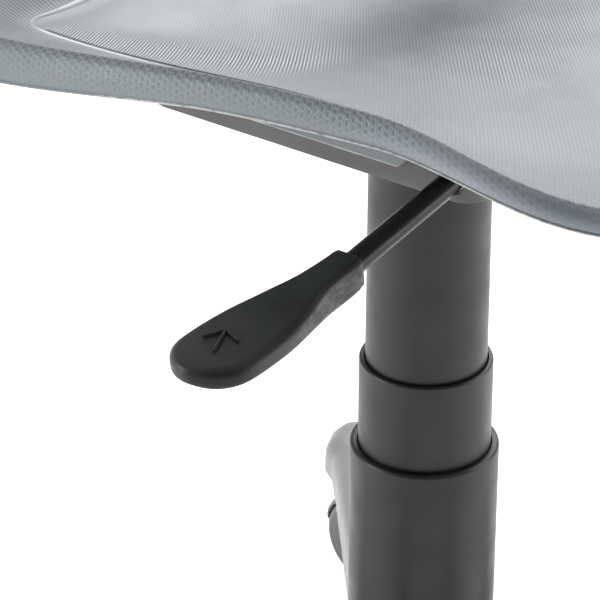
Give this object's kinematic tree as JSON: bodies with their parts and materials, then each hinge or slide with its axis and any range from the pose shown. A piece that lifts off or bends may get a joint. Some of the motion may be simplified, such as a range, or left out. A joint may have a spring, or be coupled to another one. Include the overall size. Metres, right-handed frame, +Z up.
{
  "type": "adjustable swivel stool",
  "caption": "Adjustable swivel stool: contoured ribbed plastic seat, gas lift in a three-stage telescoping cover, lift lever with paddle, star base on twin-wheel casters.",
  "frame": {"origin": "on the floor, under the column's axis", "axes": "+Z up along the column, seat front at -Y, lift lever on the -X side"},
  "size_m": [0.5758, 0.5599, 0.4941],
  "materials": {
    "seat_plastic": "light blue-grey moulded plastic, fine ribs on top and a pebbled edge",
    "cover_plastic": "dark grey satin moulded plastic",
    "plate_paint": "dark grey powder coat",
    "base_plastic": "light grey glass-filled nylon",
    "wheel_plastic": "light grey hard tread",
    "black_steel": "black semi-gloss coat",
    "grip_plastic": "black textured plastic",
    "black_plastic": "black plastic",
    "bush_plastic": "natural acetal",
    "bump_rubber": "black rubber",
    "bright_steel": "zinc-plated steel",
    "brass": "turned brass"
  },
  "bodies": {
    "base": {"star_base": "base_plastic", "hub_ring": "cover_plastic", "stand_tube": "black_steel", "guide_bush": "bush_plastic", "lower_thrust_washer": "bright_steel", "lower_sleeve": "cover_plastic", "leg_sockets": "black_plastic"},
    "spindle": {"piston_rod": "bright_steel", "piston": "black_plastic", "rod_clip": "bright_steel", "upper_thrust_washer": "bright_steel", "bump_stop": "bump_rubber"},
    "bearing": {"ball_cage": "brass", "thrust_balls": "bright_steel"},
    "middle_cover": {"middle_sleeve": "cover_plastic"},
    "seat": {"gas_cylinder": "black_steel", "taper_socket": "plate_paint", "lever_bracket": "plate_paint", "upper_sleeve": "cover_plastic", "seat_plate": "plate_paint", "seat_shell": "seat_plastic", "seat_inserts": "brass", "seat_washers": "bright_steel", "seat_screws": "bright_steel"},
    "lever": {"lever_rod": "black_steel", "release_arm": "plate_paint", "lever_grip": "grip_plastic", "shaft_clip": "bright_steel"},
    "button": {"release_button": "bright_steel"},
    "caster_1": {"caster_1_stem": "bright_steel", "caster_1_hood": "base_plastic", "caster_1_axle": "bright_steel"},
    "caster_1_wheel_a": {"caster_1_wheel_a": "wheel_plastic"},
    "caster_1_wheel_b": {"caster_1_wheel_b": "wheel_plastic"},
    "caster_2": {"caster_2_stem": "bright_steel", "caster_2_hood": "base_plastic", "caster_2_axle": "bright_steel"},
    "caster_2_wheel_a": {"caster_2_wheel_a": "wheel_plastic"},
    "caster_2_wheel_b": {"caster_2_wheel_b": "wheel_plastic"},
    "caster_3": {"caster_3_stem": "bright_steel", "caster_3_hood": "base_plastic", "caster_3_axle": "bright_steel"},
    "caster_3_wheel_a": {"caster_3_wheel_a": "wheel_plastic"},
    "caster_3_wheel_b": {"caster_3_wheel_b": "wheel_plastic"},
    "caster_4": {"caster_4_stem": "bright_steel", "caster_4_hood": "base_plastic", "caster_4_axle": "bright_steel"},
    "caster_4_wheel_a": {"caster_4_wheel_a": "wheel_plastic"},
    "caster_4_wheel_b": {"caster_4_wheel_b": "wheel_plastic"},
    "caster_5": {"caster_5_stem": "bright_steel", "caster_5_hood": "base_plastic", "caster_5_axle": "bright_steel"},
    "caster_5_wheel_a": {"caster_5_wheel_a": "wheel_plastic"},
    "caster_5_wheel_b": {"caster_5_wheel_b": "wheel_plastic"}
  },
  "joints": [
    {"name": "seat_swivel", "type": "hinge", "parent": "base", "child": "spindle", "pos_m": [0, 0, 0.05], "axis": [0, 0, 1], "continuous": true},
    {"name": "bearing_turn", "type": "hinge", "parent": "base", "child": "bearing", "pos_m": [0, 0, 0.05], "axis": [0, 0, 1], "continuous": true},
    {"name": "height_adjust", "type": "slide", "parent": "spindle", "child": "seat", "axis": [0, 0, 1], "range_m": [-0.07, 0.05]},
    {"name": "cover_slide", "type": "slide", "parent": "base", "child": "middle_cover", "axis": [0, 0, 1], "range_m": [-0.0351, 0.0251]},
    {"name": "lever_lift", "type": "hinge", "parent": "seat", "child": "lever", "pos_m": [-0.03, -0.061, 0.42124], "axis": [0, 1, 0], "range_deg": [0, 6], "stiffness_Nm_per_rad": 20, "springref_deg": -11.46},
    {"name": "button_press", "type": "slide", "parent": "seat", "child": "button", "axis": [0, 0, -1], "range_m": [0, 0.0032]},
    {"name": "caster_1_swivel", "type": "hinge", "parent": "base", "child": "caster_1", "pos_m": [0.19916, 0.17933, 0.06], "axis": [0, 0, 1], "continuous": true},
    {"name": "caster_1_roll_a", "type": "hinge", "parent": "caster_1", "child": "caster_1_wheel_a", "pos_m": [0.19588, 0.15859, 0.025], "axis": [0.9877, -0.1564, 0], "continuous": true},
    {"name": "caster_1_roll_b", "type": "hinge", "parent": "caster_1", "child": "caster_1_wheel_b", "pos_m": [0.19588, 0.15859, 0.025], "axis": [0.9877, -0.1564, 0], "continuous": true},
    {"name": "caster_2_swivel", "type": "hinge", "parent": "base", "child": "caster_2", "pos_m": [-0.10901, 0.24483, 0.06], "axis": [0, 0, 1], "continuous": true},
    {"name": "caster_2_roll_a", "type": "hinge", "parent": "caster_2", "child": "caster_2_wheel_a", "pos_m": [-0.09442, 0.22972, 0.025], "axis": [0.7193, 0.6947, 0], "continuous": true},
    {"name": "caster_2_roll_b", "type": "hinge", "parent": "caster_2", "child": "caster_2_wheel_b", "pos_m": [-0.09442, 0.22972, 0.025], "axis": [0.7193, 0.6947, 0], "continuous": true},
    {"name": "caster_3_swivel", "type": "hinge", "parent": "base", "child": "caster_3", "pos_m": [-0.26653, -0.02801, 0.06], "axis": [0, 0, 1], "continuous": true},
    {"name": "caster_3_roll_a", "type": "hinge", "parent": "caster_3", "child": "caster_3_wheel_a", "pos_m": [-0.28238, -0.04179, 0.025], "axis": [0.6561, -0.7547, 0], "continuous": true},
    {"name": "caster_3_roll_b", "type": "hinge", "parent": "caster_3", "child": "caster_3_wheel_b", "pos_m": [-0.28238, -0.04179, 0.025], "axis": [0.6561, -0.7547, 0], "continuous": true},
    {"name": "caster_4_swivel", "type": "hinge", "parent": "base", "child": "caster_4", "pos_m": [-0.05572, -0.26214, 0.06], "axis": [0, 0, 1], "continuous": true},
    {"name": "caster_4_roll_a", "type": "hinge", "parent": "caster_4", "child": "caster_4_wheel_a", "pos_m": [-0.04459, -0.24433, 0.025], "axis": [-0.848, 0.5299, 0], "continuous": true},
    {"name": "caster_4_roll_b", "type": "hinge", "parent": "caster_4", "child": "caster_4_wheel_b", "pos_m": [-0.04459, -0.24433, 0.025], "axis": [-0.848, 0.5299, 0], "continuous": true},
    {"name": "caster_5_swivel", "type": "hinge", "parent": "base", "child": "caster_5", "pos_m": [0.23209, -0.134, 0.06], "axis": [0, 0, 1], "continuous": true},
    {"name": "caster_5_roll_a", "type": "hinge", "parent": "caster_5", "child": "caster_5_wheel_a", "pos_m": [0.22666, -0.15428, 0.025], "axis": [0.9659, -0.2588, 0], "continuous": true},
    {"name": "caster_5_roll_b", "type": "hinge", "parent": "caster_5", "child": "caster_5_wheel_b", "pos_m": [0.22666, -0.15428, 0.025], "axis": [0.9659, -0.2588, 0], "continuous": true}
  ],
  "couplings": [
    {"joint": "bearing_turn", "follows": "seat_swivel", "ratio": 0.5},
    {"joint": "cover_slide", "follows": "height_adjust", "ratio": 0.5},
    {"joint": "button_press", "follows": "lever_lift", "m_per_rad": 0.0296}
  ]
}
